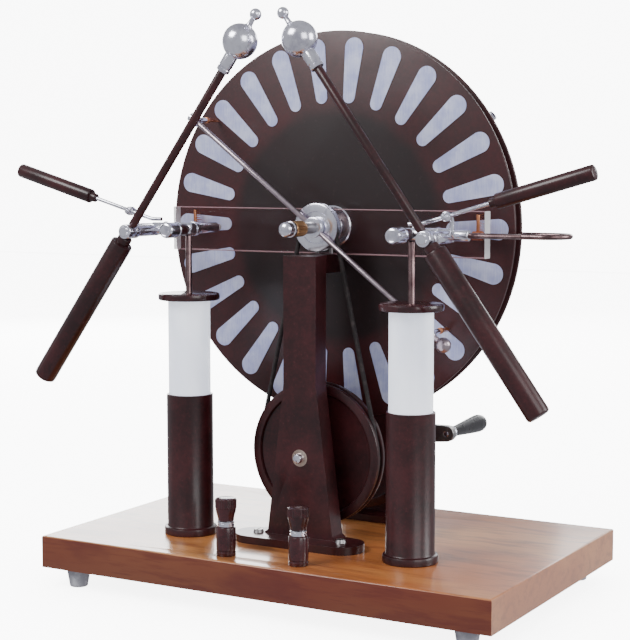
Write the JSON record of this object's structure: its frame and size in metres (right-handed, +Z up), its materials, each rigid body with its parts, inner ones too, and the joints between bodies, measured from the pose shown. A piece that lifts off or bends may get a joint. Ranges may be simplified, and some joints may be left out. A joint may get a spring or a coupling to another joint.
{
  "type": "electrostatic generator",
  "caption": "Hand cranked two disc electrostatic influence machine on a wooden board, with storage jars, spark electrodes, belts, pulleys and a rear crank.",
  "frame": {"origin": "on the table, under the middle of the outer box, 4.55 mm behind the plane between the discs", "axes": "+X to the right of the machine as seen from the front, +Y to the rear where the crank is, +Z up; the discs' axle and the drive shaft lie along Y"},
  "size_m": [0.485, 0.2812, 0.4395],
  "materials": {
    "wood": "varnished wood board",
    "rubber": "grey rubber feet",
    "maroon": "dark maroon plastic",
    "disc": "dark maroon acrylic disc",
    "acrylic": "clear acrylic with pale pink edges",
    "frosted": "frosted white tube",
    "foil": "silver metal sectors",
    "chrome": "polished plated metal",
    "steel": "steel screws and shafts",
    "brass": "brass nuts and bushes",
    "copper": "copper wire tufts and points",
    "belt": "round rubber belts",
    "black": "grey black turned grip"
  },
  "bodies": {
    "frame": {"base_board": "wood", "rubber_feet": "rubber", "front_upright": "maroon", "rear_upright": "maroon", "frame_screws": "steel", "bushes": "brass", "cross_bar": "acrylic", "axle": "steel", "axle_sleeves": "steel", "brass_nuts": "brass", "cap_nuts": "chrome", "front_belt": "belt", "rear_belt": "belt", "jar_cups": "maroon", "jar_tubes": "frosted", "jar_lids": "maroon", "jar_rods": "chrome", "conductors": "chrome", "terminal_knobs": "chrome", "terminal_sleeves": "maroon", "left_collector": "chrome", "right_collector": "chrome", "combs": "copper", "pivot_posts": "chrome", "lever_stands": "chrome", "binding_bodies": "maroon", "binding_studs": "chrome"},
    "front_disc": {"front_disc_plate": "disc", "front_disc_sectors": "foil", "front_disc_hub": "chrome"},
    "rear_disc": {"rear_disc_plate": "disc", "rear_disc_sectors": "foil", "rear_disc_hub": "chrome"},
    "drive": {"drive_shaft": "steel", "front_drive_pulley": "maroon", "rear_drive_pulley": "maroon", "shaft_collars": "chrome", "crank_arm": "steel", "crank_pin": "steel"},
    "grip": {"crank_grip": "black"},
    "front_neutral": {"front_neutral_hub": "chrome", "front_neutral_rod": "chrome", "front_neutral_holders": "chrome", "front_neutral_brushes": "copper"},
    "rear_neutral": {"rear_neutral_hub": "chrome", "rear_neutral_rod": "chrome", "rear_neutral_holders": "chrome", "rear_neutral_brushes": "copper"},
    "left_electrode": {"left_electrode_clamp": "chrome", "left_electrode_rod": "chrome", "left_electrode_handle": "maroon"},
    "right_electrode": {"right_electrode_clamp": "chrome", "right_electrode_rod": "chrome", "right_electrode_handle": "maroon"},
    "left_lever": {"left_lever_rod": "chrome", "left_lever_grip": "maroon"},
    "right_lever": {"right_lever_rod": "chrome", "right_lever_grip": "maroon"},
    "left_post_knob": {"left_binding_knob": "maroon"},
    "right_post_knob": {"right_binding_knob": "maroon"}
  },
  "joints": [
    {"name": "front_disc_spin", "type": "hinge", "parent": "frame", "child": "front_disc", "pos_m": [0, -0.02455, 0.28], "axis": [0, 1, 0], "continuous": true},
    {"name": "rear_disc_spin", "type": "hinge", "parent": "frame", "child": "rear_disc", "pos_m": [0, 0.01545, 0.28], "axis": [0, 1, 0], "continuous": true},
    {"name": "drive_spin", "type": "hinge", "parent": "frame", "child": "drive", "pos_m": [0, -0.00455, 0.1065], "axis": [0, 1, 0], "continuous": true},
    {"name": "grip_spin", "type": "hinge", "parent": "drive", "child": "grip", "pos_m": [0.05792, 0.10945, 0.10953], "axis": [0, 1, 0], "continuous": true},
    {"name": "front_neutral_turn", "type": "hinge", "parent": "frame", "child": "front_neutral", "pos_m": [0, -0.04605, 0.28], "axis": [0, 1, 0], "range_deg": [-15, 15]},
    {"name": "rear_neutral_turn", "type": "hinge", "parent": "frame", "child": "rear_neutral", "pos_m": [0, 0.03695, 0.28], "axis": [0, 1, 0], "range_deg": [-15, 15]},
    {"name": "left_electrode_swing", "type": "hinge", "parent": "frame", "child": "left_electrode", "pos_m": [-0.1255, -0.10955, 0.277], "axis": [0, 1, 0], "range_deg": [-60, 2]},
    {"name": "right_electrode_swing", "type": "hinge", "parent": "frame", "child": "right_electrode", "pos_m": [0.1255, -0.10955, 0.277], "axis": [0, 1, 0], "range_deg": [-2, 60]},
    {"name": "left_lever_swing", "type": "hinge", "parent": "frame", "child": "left_lever", "pos_m": [-0.134, -0.09555, 0.2921], "axis": [0, 1, 0], "range_deg": [-25, 0]},
    {"name": "right_lever_swing", "type": "hinge", "parent": "frame", "child": "right_lever", "pos_m": [0.134, -0.09555, 0.2921], "axis": [0, 1, 0], "range_deg": [0, 25]},
    {"name": "left_knob_turn", "type": "hinge", "parent": "frame", "child": "left_post_knob", "pos_m": [-0.031, -0.12255, 0.074], "axis": [0, 0, 1], "range_deg": [-180, 180]},
    {"name": "right_knob_turn", "type": "hinge", "parent": "frame", "child": "right_post_knob", "pos_m": [0.031, -0.12255, 0.074], "axis": [0, 0, 1], "range_deg": [-180, 180]}
  ],
  "couplings": [
    {"joint": "drive_spin", "follows": "front_disc_spin", "ratio": 0.26923},
    {"joint": "rear_disc_spin", "follows": "front_disc_spin", "ratio": -1}
  ]
}
